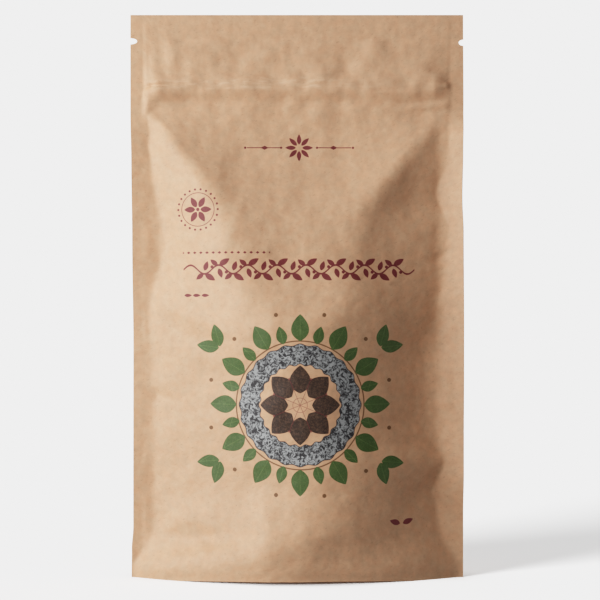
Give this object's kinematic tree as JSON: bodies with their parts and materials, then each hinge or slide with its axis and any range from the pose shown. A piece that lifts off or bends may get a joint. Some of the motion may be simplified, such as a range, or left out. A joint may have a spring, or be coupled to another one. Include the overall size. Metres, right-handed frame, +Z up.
{
  "type": "stand-up pouch",
  "caption": "Filled stand-up pouch of kraft paper laminate, with a press-to-close zip under its sealed top, side seals, tear notches and a bottom gusset that opens into the base it stands on.",
  "frame": {"origin": "on the surface that the pouch stands on, under the middle of its bounding box", "axes": "+Z up to the header, +X to the right across the front as one faces it, and the printed front faces -Y"},
  "size_m": [0.16, 0.0634, 0.27],
  "materials": {
    "front_panel": "matte",
    "back_panel": "matte",
    "bottom_gusset": "matte",
    "zip_rib_strip": "satin",
    "zip_groove_strip": "satin",
    "contents": "matte"
  },
  "bodies": {
    "root": {"front_panel": "front_panel", "back_panel": "back_panel", "bottom_gusset": "bottom_gusset", "zip_rib_strip": "zip_rib_strip", "zip_groove_strip": "zip_groove_strip", "contents": "contents"}
  },
  "joints": []
}
